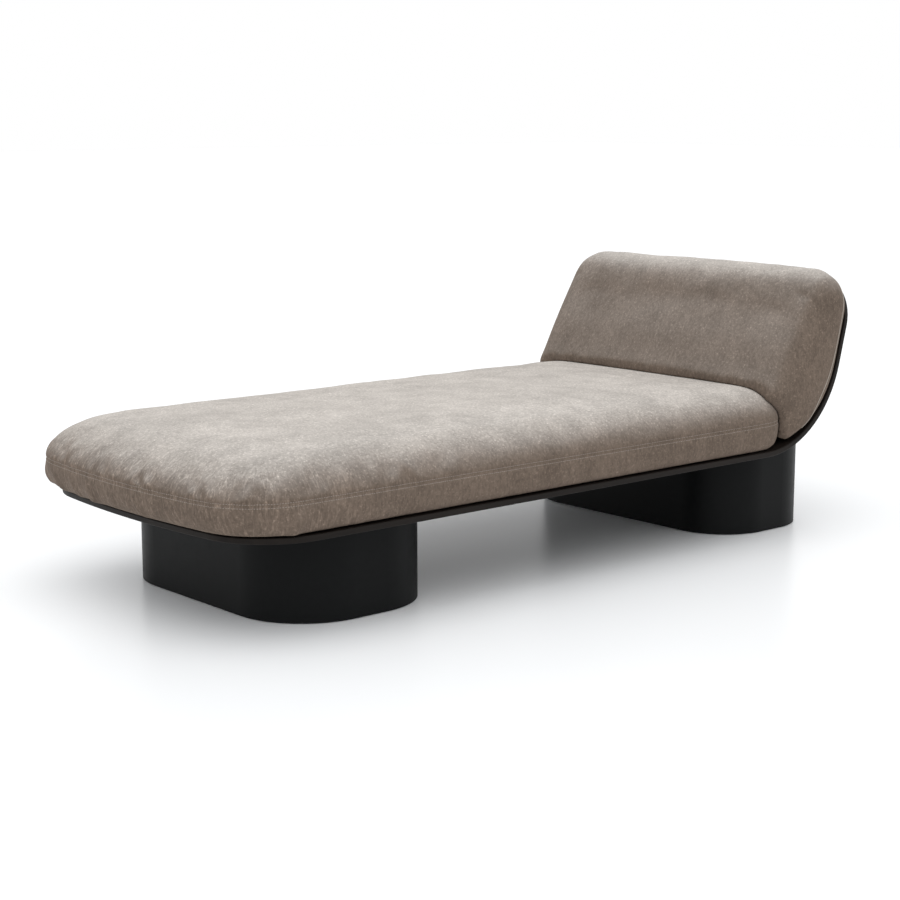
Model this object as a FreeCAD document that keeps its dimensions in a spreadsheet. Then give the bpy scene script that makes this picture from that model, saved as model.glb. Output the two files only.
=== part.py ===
import FreeCAD, Part
import Sketcher
import math
import os

# Chaise longue: a loose crowned seat cushion and a thick leaning back pillow on one bent
# plywood shell, carried by two oval drum pedestals. Millimetres, +Z up, X along the length
# with the back at +X, origin on the floor under the middle of the overall box.

SIZES = [
    ("overall_length", 2010, "foot end of the seat cushion to the rear of the shell"),
    ("seat_width", 900, "seat cushion across its seam"),
    ("shell_width", 890, "bent plywood shell"),
    ("pedestal_height", 216, "floor to the underside of the shell"),
    ("shell_thickness", 14, "plywood"),
    ("shell_foot_setback", 40, "shell's foot end behind the cushion's foot end"),
    ("shell_foot_corner", 175, "plan radius of the shell's foot corners"),
    ("shell_end_bow", 2600, "plan radius of the slightly bowed foot end"),
    ("shell_top_corner", 130, "radius of the shell's two upper corners"),
    ("shell_top_height", 660, "floor to the shell's upper edge"),
    ("swoop_radius", 290, "underside radius of the bend between seat and back"),
    ("back_lean", 14.5, "shell's back from the vertical, degrees"),
    ("shell_edge_round", 3, "rounding of the shell's long edges"),
    ("strip_gap", 3, "height of the hook and loop strips under the seat cushion"),
    ("seam_height", 302, "floor to the seam round the seat cushion"),
    ("seat_head_end", 805, "seat cushion's head end along X"),
    ("seat_foot_corner", 170, "plan radius at the foot corners"),
    ("seat_head_corner", 132, "plan radius at the head corners"),
    ("seat_end_bow", 2400, "plan radius of the bowed ends"),
    ("dome_reach", 115, "how far in from the seam the upper roll ends"),
    ("dome_rise", 86, "height of the upper roll above the seam"),
    ("crown_rise", 8, "extra height in the middle of the seat"),
    ("crown_inset", 290, "where the flat of the crown begins"),
    ("crown_corner", 60, "plan radius of the flat of the crown"),
    ("under_reach", 14, "how far in the lower roll ends along the sides and the head"),
    ("under_foot_reach", 42, "how far in it ends at the foot"),
    ("cover_thickness", 2, "woven cover"),
    ("lining_gap", 3, "room for the loose fibre between a cover and its foam"),
    ("scribe_gap", 0.8, "clearance between the head pedestal and the shell's bend"),
    ("layer_gap", 0.3, "room between one layer and the next"),
    ("seat_board_thickness", 12, "board under the seat foam"),
    ("pillow_half_width", 466, "back pillow at its fullest"),
    ("pillow_top_thickness", 131, "back pillow at its top"),
    ("pillow_lean", 31.6, "front of the pillow from the vertical, degrees"),
    ("pillow_top_height", 661, "where the pillow's top would meet the shell's plane"),
    ("pillow_front_depth", 86, "depth of the pillow's front edge roll"),
    ("pillow_front_reach", 49, "sideways reach of the front edge roll"),
    ("pillow_rear_depth", 44, "depth of the pillow's rear edge roll"),
    ("pillow_rear_reach", 78, "sideways reach of the rear edge roll"),
    ("pillow_corner", 92, "radius of the pillow's upper corners"),
    ("pillow_crown", 8, "how far the pillow's front stands out in the middle"),
    ("pillow_belly_radius", 139.5, "hollow under the pillow that hugs the seat cushion"),
    ("pillow_belly_room", 2.5, "that hollow's extra room behind the seat cushion"),
    ("pillow_tuck_end", 436, "half width within which the pillow tucks round the seat"),
    ("pillow_belly_drop", 44, "that hollow's centre below the seam"),
    ("foot_drum_x", -569, "middle of the foot pedestal"),
    ("foot_drum_length", 452, "foot pedestal along X"),
    ("foot_drum_width", 714, "foot pedestal across"),
    ("foot_drum_corner", 180, "plan radius of the foot pedestal"),
    ("head_drum_x", 763, "middle of the head pedestal"),
    ("head_drum_length", 376, "head pedestal along X"),
    ("head_drum_width", 760, "head pedestal across"),
    ("head_drum_corner", 146, "plan radius of the head pedestal"),
    ("drum_wall", 18, "bent pedestal casing"),
    ("plate_thickness", 18, "pedestal top plates and ribs"),
    ("rib_spacing", 300, "between the two long ribs of a pedestal"),
    ("joinery_gap", 0.2, "glue line round every plate and rib"),
    ("glide_size", 40, "felt glide"),
    ("glide_thickness", 6, "felt glide"),
    ("glide_stand", 2, "how far the glides lift the casing off the floor"),
    ("glide_block_size", 56, "wooden block over each glide"),
    ("glide_block_height", 40, "wooden block over each glide"),
    ("glide_block_setback", 8, "from the casing's inner side to the block"),
    ("rib_floor", 10, "floor to the lower edge of the ribs"),
    ("saddle_start", 45, "saddle block behind the start of the bend"),
    ("saddle_length", 110, "saddle block along X"),
    ("saddle_width", 560, "saddle block across"),
    ("bolt_radius", 4, "coach screw shank"),
    ("bolt_head_radius", 7.2, "hexagon head over its corners"),
    ("bolt_head_height", 5.3, "hexagon head"),
    ("bolt_bite", 10, "how far a coach screw goes into the shell"),
    ("foot_bolt_pitch_x", 190, "foot pedestal bolts along X"),
    ("bolt_pitch_y", 400, "outer bolts across"),
    ("head_bolt_setback", 58, "head pedestal bolts behind the casing's front"),
    ("stiffener_width", 40, "steel flat let into the shell"),
    ("stiffener_thickness", 5, "steel flat let into the shell"),
    ("stiffener_length", 1380, "steel flat let into the shell"),
    ("stiffener_middle", -60, "middle of the steel flats along X"),
    ("stiffener_spacing", 620, "between the two steel flats"),
    ("strip_width", 50, "hook and loop strips"),
    ("strip_length", 360, "hook and loop strips"),
    ("strip_pitch_x", 460, "between rows of strips"),
    ("strip_pitch_y", 280, "between columns of strips"),
    ("strip_middle", -125, "middle of the strips along X"),
    ("back_board_thickness", 15, "board inside the back pillow"),
    ("back_board_width", 640, "board inside the back pillow"),
    ("back_board_low", 455, "lower edge of that board above the floor"),
    ("back_board_high", 590, "upper edge of that board above the floor"),
    ("clip_width", 24, "push-in clip across the back"),
    ("clip_height", 9, "push-in clip up the back"),
    ("clip_depth", 8, "how far a clip goes into the shell and the board"),
    ("clip_pitch_x", 250, "between clips across the back"),
    ("clip_pitch_z", 80, "between the two rows of clips"),
]

DOC = FreeCAD.newDocument("ChaiseLongue")
SHEET = DOC.addObject("Spreadsheet::Sheet", "Sizes")


class Dim:
    """A size with its number and the sheet expression that gives it."""

    def __init__(self, text, value):
        self.text = text
        self.value = value

    def __add__(self, other):
        other = dim(other)
        return Dim("(%s + %s)" % (self.text, other.text), self.value + other.value)

    def __sub__(self, other):
        other = dim(other)
        return Dim("(%s - %s)" % (self.text, other.text), self.value - other.value)

    def __mul__(self, other):
        other = dim(other)
        return Dim("(%s * %s)" % (self.text, other.text), self.value * other.value)

    def __truediv__(self, other):
        other = dim(other)
        return Dim("(%s / %s)" % (self.text, other.text), self.value / other.value)

    def __neg__(self):
        return Dim("(0 - %s)" % self.text, -self.value)

    __radd__ = __add__
    __rmul__ = __mul__

    def __rsub__(self, other):
        return dim(other) - self


def dim(value):
    if isinstance(value, Dim):
        return value
    return Dim(repr(round(float(value), 6)), float(value))


def sine(angle):
    return Dim("sin(%s)" % angle.text, math.sin(math.radians(angle.value)))


def cosine(angle):
    return Dim("cos(%s)" % angle.text, math.cos(math.radians(angle.value)))


def root(size):
    return Dim("sqrt(%s)" % size.text, math.sqrt(size.value))


def tangent(angle):
    return Dim("tan(%s)" % angle.text, math.tan(math.radians(angle.value)))


class Sizes:
    pass


S = Sizes()
for row, (alias, number, note) in enumerate(SIZES, start=1):
    SHEET.set("A%d" % row, alias)
    SHEET.set("B%d" % row, str(number))
    SHEET.set("C%d" % row, note)
    SHEET.setAlias("B%d" % row, alias)
    setattr(S, alias, Dim("Sizes." + alias, float(number)))
DOC.recompute()

# Levels and lines that several pieces share.
SHELL_TOP = S.pedestal_height + S.shell_thickness
SEAT_BOTTOM = SHELL_TOP + S.strip_gap
FOOT_END = -S.overall_length / 2
SWOOP_TURN = 90 - S.back_lean
SWOOP_RISE = S.swoop_radius * (1 - sine(S.back_lean))
BACK_RUN = (S.shell_top_height - S.pedestal_height - SWOOP_RISE) * tangent(S.back_lean)
SWOOP_START = S.overall_length / 2 - S.swoop_radius * cosine(S.back_lean) - BACK_RUN
INNER_RADIUS = S.swoop_radius - S.shell_thickness


def bind(item, prop, size):
    item.setExpression(prop, dim(size).text)


def new_body(label):
    body = DOC.addObject("PartDesign::Body", label)
    body.Label = label
    return body


def plane_of(body, role):
    for feature in body.Origin.OriginFeatures:
        if feature.Role == role:
            return feature
    raise RuntimeError("no plane " + role)


def new_sketch(body, name, role, base=(0, 0, 0), tilt=None):
    """A sketch on one of the body's own planes, moved by base and tilted about its own X."""
    sketch = body.newObject("Sketcher::SketchObject", name)
    sketch.AttachmentSupport = [(plane_of(body, role), "")]
    sketch.MapMode = "FlatFace"
    x, y, z = (dim(part) for part in base)
    angle = dim(0) if tilt is None else tilt
    turn = FreeCAD.Rotation(FreeCAD.Vector(1, 0, 0), angle.value)
    sketch.AttachmentOffset = FreeCAD.Placement(FreeCAD.Vector(x.value, y.value, z.value), turn)
    for axis, part in (("x", x), ("y", y), ("z", z)):
        if part.text not in ("0.0", "0"):
            sketch.setExpression(".AttachmentOffset.Base." + axis, part.text)
    return sketch


def point(x, y):
    return FreeCAD.Vector(x, y, 0)


def line(sketch, start, end):
    return sketch.addGeometry(Part.LineSegment(point(*start), point(*end)), False)


def arc(sketch, centre, radius, start, end):
    """An arc from one angle to another, anticlockwise, in degrees."""
    circle = Part.Circle(point(*centre), FreeCAD.Vector(0, 0, 1), radius)
    angles = (math.radians(start), math.radians(end))
    return sketch.addGeometry(Part.ArcOfCircle(circle, angles[0], angles[1]), False)


def fix(sketch, kind, arguments, size):
    """A dimension that follows an expression. A negative one is turned round first."""
    size = dim(size)
    index = sketch.addConstraint(Sketcher.Constraint(kind, *arguments, size.value))
    sketch.renameConstraint(index, "%s_%d" % (kind, index))
    sketch.setExpression("Constraints.%s_%d" % (kind, index), size.text)


def join_tangent(sketch, first, second):
    sketch.addConstraint(Sketcher.Constraint("Tangent", first, 2, second, 1))


def join(sketch, first, first_end, second, second_end):
    sketch.addConstraint(Sketcher.Constraint("Coincident", first, first_end, second, second_end))


def fix_point(sketch, item, end, x, y):
    """Pin a point at x, y from the sketch's origin."""
    for kind, size in (("DistanceX", dim(x)), ("DistanceY", dim(y))):
        if abs(size.value) < 1e-9:
            axis = -2 if kind == "DistanceX" else -1
            sketch.addConstraint(Sketcher.Constraint("PointOnObject", item, end, axis))
        elif size.value > 0:
            fix(sketch, kind, (-1, 1, item, end), size)
        else:
            fix(sketch, kind, (item, end, -1, 1), -size)


def rounded_rectangle(sketch, length, width, corner, middle_x=0, middle_y=0):
    """Length along X and width along Y, with four equal corners."""
    length, width, corner = dim(length), dim(width), dim(corner)
    middle_x, middle_y = dim(middle_x), dim(middle_y)
    half = length.value / 2
    side = width.value / 2
    r = corner.value
    x = middle_x.value
    y = middle_y.value
    near = line(sketch, (x - half + r, y - side), (x + half - r, y - side))
    near_right = arc(sketch, (x + half - r, y - side + r), r, -90, 0)
    right = line(sketch, (x + half, y - side + r), (x + half, y + side - r))
    far_right = arc(sketch, (x + half - r, y + side - r), r, 0, 90)
    far = line(sketch, (x + half - r, y + side), (x - half + r, y + side))
    far_left = arc(sketch, (x - half + r, y + side - r), r, 90, 180)
    left = line(sketch, (x - half, y + side - r), (x - half, y - side + r))
    near_left = arc(sketch, (x - half + r, y - side + r), r, 180, 270)
    ring = [near, near_right, right, far_right, far, far_left, left, near_left]
    for first, second in zip(ring, ring[1:] + ring[:1]):
        join_tangent(sketch, first, second)
    sketch.addConstraint(Sketcher.Constraint("Horizontal", near))
    sketch.addConstraint(Sketcher.Constraint("Vertical", right))
    for corner_arc in (far_right, far_left, near_left):
        sketch.addConstraint(Sketcher.Constraint("Equal", near_right, corner_arc))
    fix(sketch, "Radius", (near_right,), corner)
    fix_point(sketch, near_right, 3, middle_x + length / 2 - corner,
              middle_y - width / 2 + corner)
    fix_point(sketch, far_left, 3, middle_x - length / 2 + corner,
              middle_y + width / 2 - corner)


def bowed_outline(sketch, half_width, foot, head, foot_corner, head_corner, bow):
    """A long outline whose two ends are bowed arcs that run tangent into the corners."""
    w, r_foot, r_head, big = half_width.value, foot_corner.value, head_corner.value, bow.value
    foot_centre = foot.value + big
    head_centre = head.value - big
    x_foot = foot_centre - math.sqrt((big - r_foot) ** 2 - (w - r_foot) ** 2)
    x_head = head_centre + math.sqrt((big - r_head) ** 2 - (w - r_head) ** 2)
    a_foot = math.degrees(math.atan2(w - r_foot, foot_centre - x_foot))
    a_head = math.degrees(math.atan2(w - r_head, x_head - head_centre))
    near = line(sketch, (x_foot, -w), (x_head, -w))
    head_near = arc(sketch, (x_head, r_head - w), r_head, -90, -a_head)
    head_end = arc(sketch, (head_centre, 0), big, -a_head, a_head)
    head_far = arc(sketch, (x_head, w - r_head), r_head, a_head, 90)
    far = line(sketch, (x_head, w), (x_foot, w))
    foot_far = arc(sketch, (x_foot, w - r_foot), r_foot, 90, 180 - a_foot)
    foot_end = arc(sketch, (foot_centre, 0), big, 180 - a_foot, 180 + a_foot)
    foot_near = arc(sketch, (x_foot, r_foot - w), r_foot, 180 + a_foot, 270)
    ring = [near, head_near, head_end, head_far, far, foot_far, foot_end, foot_near]
    for first, second in zip(ring, ring[1:] + ring[:1]):
        join_tangent(sketch, first, second)
    sketch.addConstraint(Sketcher.Constraint("Horizontal", near))
    sketch.addConstraint(Sketcher.Constraint("Horizontal", far))
    sketch.addConstraint(Sketcher.Constraint("Equal", head_near, head_far))
    sketch.addConstraint(Sketcher.Constraint("Equal", foot_near, foot_far))
    fix(sketch, "Radius", (head_near,), head_corner)
    fix(sketch, "Radius", (foot_near,), foot_corner)
    fix(sketch, "Radius", (head_end,), bow)
    fix(sketch, "Radius", (foot_end,), bow)
    fix_point(sketch, foot_end, 3, foot + bow, 0)
    fix_point(sketch, head_end, 3, head - bow, 0)
    fix(sketch, "Distance", (near, 1, far), half_width * 2)


def swoop_line(offset):
    """Points of the line that lies offset above the shell's underside: flat end and top."""
    radius = S.swoop_radius - offset
    x = SWOOP_START + radius * cosine(S.back_lean)
    z = S.pedestal_height + S.swoop_radius - radius * sine(S.back_lean)
    return radius, x, z


def pad(body, sketch, length, both_ways=False):
    feature = body.newObject("PartDesign::Pad", sketch.Name + "_pad")
    feature.Profile = sketch
    bind(feature, "Length", length)
    feature.Midplane = both_ways
    return feature


def pocket(body, sketch, length=None, both_ways=False, turned=False):
    feature = body.newObject("PartDesign::Pocket", sketch.Name + "_pocket")
    feature.Profile = sketch
    if length is None:
        feature.Type = 1
    else:
        bind(feature, "Length", length)
    feature.Midplane = both_ways
    feature.Reversed = turned
    return feature


def finish_body(body):
    DOC.recompute()
    body.Tip = [item for item in body.Group if item.isDerivedFrom("PartDesign::Feature")][-1]
    DOC.recompute()
    return body


def box(name, size, middle_x, middle_y, bottom):
    """A rectangular block from its three sizes, its middle in plan and its underside."""
    block = DOC.addObject("Part::Box", name)
    bind(block, "Length", size[0])
    bind(block, "Width", size[1])
    bind(block, "Height", size[2])
    bind(block, "Placement.Base.x", dim(middle_x) - dim(size[0]) / 2)
    bind(block, "Placement.Base.y", dim(middle_y) - dim(size[1]) / 2)
    bind(block, "Placement.Base.z", dim(bottom))
    return block


def rod(name, radius, height, x, y, bottom):
    item = DOC.addObject("Part::Cylinder", name)
    bind(item, "Radius", radius)
    bind(item, "Height", height)
    bind(item, "Placement.Base.x", dim(x))
    bind(item, "Placement.Base.y", dim(y))
    bind(item, "Placement.Base.z", dim(bottom))
    return item


def hexagon(name, radius, height, x, y, bottom):
    item = DOC.addObject("Part::Prism", name)
    item.Polygon = 6
    bind(item, "Circumradius", radius)
    bind(item, "Height", height)
    bind(item, "Placement.Base.x", dim(x))
    bind(item, "Placement.Base.y", dim(y))
    bind(item, "Placement.Base.z", dim(bottom))
    return item


def group(label, pieces):
    """Separate solids under one name."""
    fuse = DOC.addObject("Part::MultiFuse", label)
    fuse.Shapes = pieces
    fuse.Label = label
    return fuse


def cut(name, base, tools):
    remove = tools[0]
    if len(tools) > 1:
        remove = group(name + "_tools", tools)
    result = DOC.addObject("Part::Cut", name)
    result.Base = base
    result.Tool = remove
    return result


NODES = []


def node(item):
    NODES.append(item)
    return item


# The bent shell.

def foot_bolts():
    return [(S.foot_drum_x + S.foot_bolt_pitch_x * share, S.bolt_pitch_y * share)
            for share in (-0.5, 0.5)]


def head_bolts():
    x = S.head_drum_x - S.head_drum_length / 2 + S.head_bolt_setback
    return [(x, S.bolt_pitch_y * share) for share in (-0.5, 0.5)]


def rectangle(sketch, length, width, middle_x, middle_y):
    """Length along the sketch's X and width along its Y, with square corners."""
    length, width = dim(length), dim(width)
    middle_x, middle_y = dim(middle_x), dim(middle_y)
    x = (middle_x - length / 2).value
    y = (middle_y - width / 2).value
    corners = [(x, y), (x + length.value, y), (x + length.value, y + width.value),
               (x, y + width.value)]
    sides = [line(sketch, start, end) for start, end in zip(corners, corners[1:] + corners[:1])]
    for first, second in zip(sides, sides[1:] + sides[:1]):
        join(sketch, first, 2, second, 1)
    for side, kind in zip(sides, ("Horizontal", "Vertical", "Horizontal", "Vertical")):
        sketch.addConstraint(Sketcher.Constraint(kind, side))
    fix(sketch, "DistanceX", (sides[0], 1, sides[0], 2), length)
    fix(sketch, "DistanceY", (sides[1], 1, sides[1], 2), width)
    fix_point(sketch, sides[0], 1, middle_x - length / 2, middle_y - width / 2)


def circles(sketch, places, radius):
    for x, y in places:
        shape = Part.Circle(point(dim(x).value, dim(y).value), FreeCAD.Vector(0, 0, 1),
                            dim(radius).value)
        item = sketch.addGeometry(shape, False)
        fix(sketch, "Radius", (item,), radius)
        fix_point(sketch, item, 3, x, y)


def shell_profile(body):
    """Side view of the bent board: flat, bend and leaning back."""
    sketch = new_sketch(body, "shell_side_view", "XZ_Plane")
    radius, x_out, z_out = swoop_line(dim(0))
    inner, x_in, z_in = swoop_line(S.shell_thickness)
    foot = FOOT_END + S.shell_foot_setback
    top = (S.overall_length / 2, S.shell_top_height)
    top_in = (top[0] - S.shell_thickness * cosine(S.back_lean),
              top[1] + S.shell_thickness * sine(S.back_lean))
    low = S.pedestal_height.value
    high = SHELL_TOP.value
    start = SWOOP_START.value
    centre = (start, low + radius.value)
    turn = -S.back_lean.value
    flat = line(sketch, (foot.value, low), (start, low))
    bend = arc(sketch, centre, radius.value, -90, turn)
    back = line(sketch, (x_out.value, z_out.value), (top[0].value, top[1].value))
    edge = line(sketch, (top[0].value, top[1].value), (top_in[0].value, top_in[1].value))
    back_in = line(sketch, (top_in[0].value, top_in[1].value), (x_in.value, z_in.value))
    bend_in = arc(sketch, centre, inner.value, -90, turn)
    flat_in = line(sketch, (start, high), (foot.value, high))
    end = line(sketch, (foot.value, high), (foot.value, low))
    join_tangent(sketch, flat, bend)
    join_tangent(sketch, bend, back)
    join(sketch, back, 2, edge, 1)
    join(sketch, edge, 2, back_in, 1)
    sketch.addConstraint(Sketcher.Constraint("Tangent", back_in, 2, bend_in, 2))
    sketch.addConstraint(Sketcher.Constraint("Tangent", bend_in, 1, flat_in, 1))
    join(sketch, flat_in, 2, end, 1)
    join(sketch, end, 2, flat, 1)
    join(sketch, bend, 3, bend_in, 3)
    sketch.addConstraint(Sketcher.Constraint("Horizontal", flat))
    sketch.addConstraint(Sketcher.Constraint("Horizontal", flat_in))
    sketch.addConstraint(Sketcher.Constraint("Vertical", end))
    fix_point(sketch, bend, 3, SWOOP_START, S.pedestal_height + S.swoop_radius)
    fix(sketch, "Radius", (bend,), S.swoop_radius)
    fix(sketch, "Radius", (bend_in,), INNER_RADIUS)
    fix_point(sketch, back, 2, top[0], top[1])
    fix_point(sketch, edge, 2, top_in[0], top_in[1])
    fix(sketch, "DistanceX", (end, 2, -1, 1), -foot)
    return sketch


def shell_foot_waste(body):
    """Everything outside the rounded, slightly bowed foot end."""
    sketch = new_sketch(body, "shell_foot_waste", "XY_Plane")
    spare = 20
    w = S.shell_width.value / 2
    r = S.shell_foot_corner.value
    big = S.shell_end_bow.value
    foot = FOOT_END + S.shell_foot_setback
    bow_x = foot.value + big
    x = bow_x - math.sqrt((big - r) ** 2 - (w - r) ** 2)
    a = math.degrees(math.atan2(w - r, bow_x - x))
    left = foot.value - spare
    near = line(sketch, (left, -w - spare), (x, -w - spare))
    near_in = line(sketch, (x, -w - spare), (x, -w))
    near_arc = arc(sketch, (x, r - w), r, 180 + a, 270)
    bow = arc(sketch, (bow_x, 0), big, 180 - a, 180 + a)
    far_arc = arc(sketch, (x, w - r), r, 90, 180 - a)
    far_out = line(sketch, (x, w), (x, w + spare))
    far = line(sketch, (x, w + spare), (left, w + spare))
    side = line(sketch, (left, w + spare), (left, -w - spare))
    join(sketch, near, 2, near_in, 1)
    join(sketch, near_in, 2, near_arc, 2)
    join_tangent(sketch, bow, near_arc)
    join_tangent(sketch, far_arc, bow)
    join(sketch, far_arc, 1, far_out, 1)
    join(sketch, far_out, 2, far, 1)
    join(sketch, far, 2, side, 1)
    join(sketch, side, 2, near, 1)
    for item in (near, far):
        sketch.addConstraint(Sketcher.Constraint("Horizontal", item))
    for item in (near_in, far_out, side):
        sketch.addConstraint(Sketcher.Constraint("Vertical", item))
    fix(sketch, "Radius", (near_arc,), S.shell_foot_corner)
    fix(sketch, "Radius", (far_arc,), S.shell_foot_corner)
    fix(sketch, "Radius", (bow,), S.shell_end_bow)
    fix_point(sketch, bow, 3, foot + S.shell_end_bow, 0)
    fix(sketch, "DistanceY", (near_arc, 2, -1, 1), S.shell_width / 2)
    fix(sketch, "DistanceY", (-1, 1, far_arc, 1), S.shell_width / 2)
    fix(sketch, "DistanceY", (near_in, 1, near_in, 2), spare)
    fix(sketch, "DistanceY", (far_out, 1, far_out, 2), spare)
    fix(sketch, "DistanceX", (side, 1, -1, 1), spare - foot)
    return sketch


def shell_top_waste(body):
    """Everything outside the two rounded upper corners, drawn on the leaning back."""
    base = (0, S.shell_top_height, S.overall_length / 2)
    sketch = new_sketch(body, "shell_top_waste", "YZ_Plane", base, S.back_lean)
    spare = 30
    w = S.shell_width.value / 2
    r = S.shell_top_corner.value
    for side, start, stop in ((1, 0, 90), (-1, 90, 180)):
        curve = arc(sketch, (side * (w - r), -r), r, start, stop)
        out, up = (1, 2) if side > 0 else (2, 1)
        foot = line(sketch, (side * w, -r), (side * (w + spare), -r))
        wall = line(sketch, (side * (w + spare), -r), (side * (w + spare), spare))
        lid = line(sketch, (side * (w + spare), spare), (side * (w - r), spare))
        drop = line(sketch, (side * (w - r), spare), (side * (w - r), 0))
        join(sketch, curve, out, foot, 1)
        join(sketch, foot, 2, wall, 1)
        join(sketch, wall, 2, lid, 1)
        join(sketch, lid, 2, drop, 1)
        join(sketch, drop, 2, curve, up)
        for item in (foot, lid):
            sketch.addConstraint(Sketcher.Constraint("Horizontal", item))
        for item in (wall, drop):
            sketch.addConstraint(Sketcher.Constraint("Vertical", item))
        fix_point(sketch, curve, 3, (S.shell_width / 2 - S.shell_top_corner) * side,
                  -S.shell_top_corner)
        fix(sketch, "Radius", (curve,), S.shell_top_corner)
        fix_point(sketch, wall, 2, (S.shell_width / 2 + spare) * side, spare)
    return sketch


def tilted_base():
    """Where the shell's inner back plane meets the level of the board's lower edge."""
    offset = S.shell_thickness
    radius, x, z = swoop_line(offset)
    height = S.back_board_low
    return x + (height - z) * tangent(S.back_lean), height


def back_sketch(body, name, forward):
    """A sketch on the back's slope, forward of the shell's inner face."""
    x, z = tilted_base()
    shift = dim(forward)
    base = (0, z + shift * sine(S.back_lean), x - shift * cosine(S.back_lean))
    return new_sketch(body, name, "YZ_Plane", base, S.back_lean)


def clip_outlines(sketch, room):
    """The six clips that hold the pillow, seen along them, with room all round."""
    middle = (S.back_board_high - S.back_board_low) / (2 * cosine(S.back_lean))
    for column in (-1, 0, 1):
        for row in (-0.5, 0.5):
            rectangle(sketch, S.clip_width + room * 2, S.clip_height + room * 2,
                      S.clip_pitch_x * column, middle + S.clip_pitch_z * row)


def outline_edges(shape, thickness):
    """Sharp edges that run along the board's outline, not across its thickness or on it."""
    found = []
    for index, edge in enumerate(shape.Edges, start=1):
        middle = edge.valueAt((edge.FirstParameter + edge.LastParameter) / 2)
        faces = shape.ancestorsOfType(edge, Part.Face)
        normals = [face.normalAt(*face.Surface.parameter(middle)) for face in faces]
        sharp = len(normals) == 2 and normals[0].getAngle(normals[1]) > 0.5
        if sharp and abs(edge.Length - thickness) > 0.5:
            found.append("Edge%d" % index)
    return found


def make_shell():
    body = new_body("shell")
    pad(body, shell_profile(body), S.shell_width, both_ways=True)
    pocket(body, shell_foot_waste(body), both_ways=True)
    pocket(body, shell_top_waste(body), S.shell_thickness * 4, both_ways=True)
    DOC.recompute()
    last = body.Tip
    rounding = body.newObject("PartDesign::Fillet", "shell_rounding")
    rounding.Base = (last, outline_edges(last.Shape, S.shell_thickness.value))
    bind(rounding, "Radius", S.shell_edge_round)
    DOC.recompute()
    grooves = new_sketch(body, "stiffener_grooves", "XY_Plane", (0, 0, SHELL_TOP))
    room = S.joinery_gap * 2
    for side in (-0.5, 0.5):
        rectangle(grooves, S.stiffener_length + room, S.stiffener_width + room,
                  S.stiffener_middle, S.stiffener_spacing * side)
    pocket(body, grooves, S.stiffener_thickness)
    holes = new_sketch(body, "coach_screw_holes", "XY_Plane", (0, 0, S.pedestal_height))
    circles(holes, foot_bolts() + head_bolts(), S.bolt_radius + S.joinery_gap)
    pocket(body, holes, S.bolt_bite + S.joinery_gap, turned=True)
    sockets = back_sketch(body, "clip_sockets", 0)
    clip_outlines(sockets, S.joinery_gap)
    pocket(body, sockets, S.clip_depth + S.joinery_gap, turned=True)
    return node(finish_body(body))


def make_stiffeners():
    bars = []
    for index, side in enumerate((-0.5, 0.5)):
        size = (S.stiffener_length, S.stiffener_width, S.stiffener_thickness)
        bars.append(box("stiffener_%d" % index, size, S.stiffener_middle,
                        S.stiffener_spacing * side, SHELL_TOP - S.stiffener_thickness))
    node(group("shell_stiffener_bars", bars))


# Pedestals.

def swoop_region(body, name, offset, start, end, level):
    """Side view between a line that runs offset above the shell's underside and a level."""
    sketch = new_sketch(body, name, "XZ_Plane")
    radius = S.swoop_radius - offset
    low = S.pedestal_height + offset
    centre = (SWOOP_START.value, low.value + radius.value)
    reach = math.asin((end.value - centre[0]) / radius.value)
    turn = math.degrees(reach) - 90
    rise = centre[1] - radius.value * math.cos(reach)
    flat = line(sketch, (start.value, low.value), (centre[0], low.value))
    bend = arc(sketch, centre, radius.value, -90, turn)
    rear = line(sketch, (end.value, rise), (end.value, level.value))
    lid = line(sketch, (end.value, level.value), (start.value, level.value))
    front = line(sketch, (start.value, level.value), (start.value, low.value))
    join_tangent(sketch, flat, bend)
    join(sketch, bend, 2, rear, 1)
    join(sketch, rear, 2, lid, 1)
    join(sketch, lid, 2, front, 1)
    join(sketch, front, 2, flat, 1)
    sketch.addConstraint(Sketcher.Constraint("Horizontal", flat))
    sketch.addConstraint(Sketcher.Constraint("Horizontal", lid))
    sketch.addConstraint(Sketcher.Constraint("Vertical", rear))
    sketch.addConstraint(Sketcher.Constraint("Vertical", front))
    fix_point(sketch, bend, 3, SWOOP_START, low + radius)
    fix(sketch, "Radius", (bend,), radius)
    fix_point(sketch, rear, 2, end, level)
    fix(sketch, "DistanceX", (lid, 2, lid, 1), end - start)
    return sketch


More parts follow.
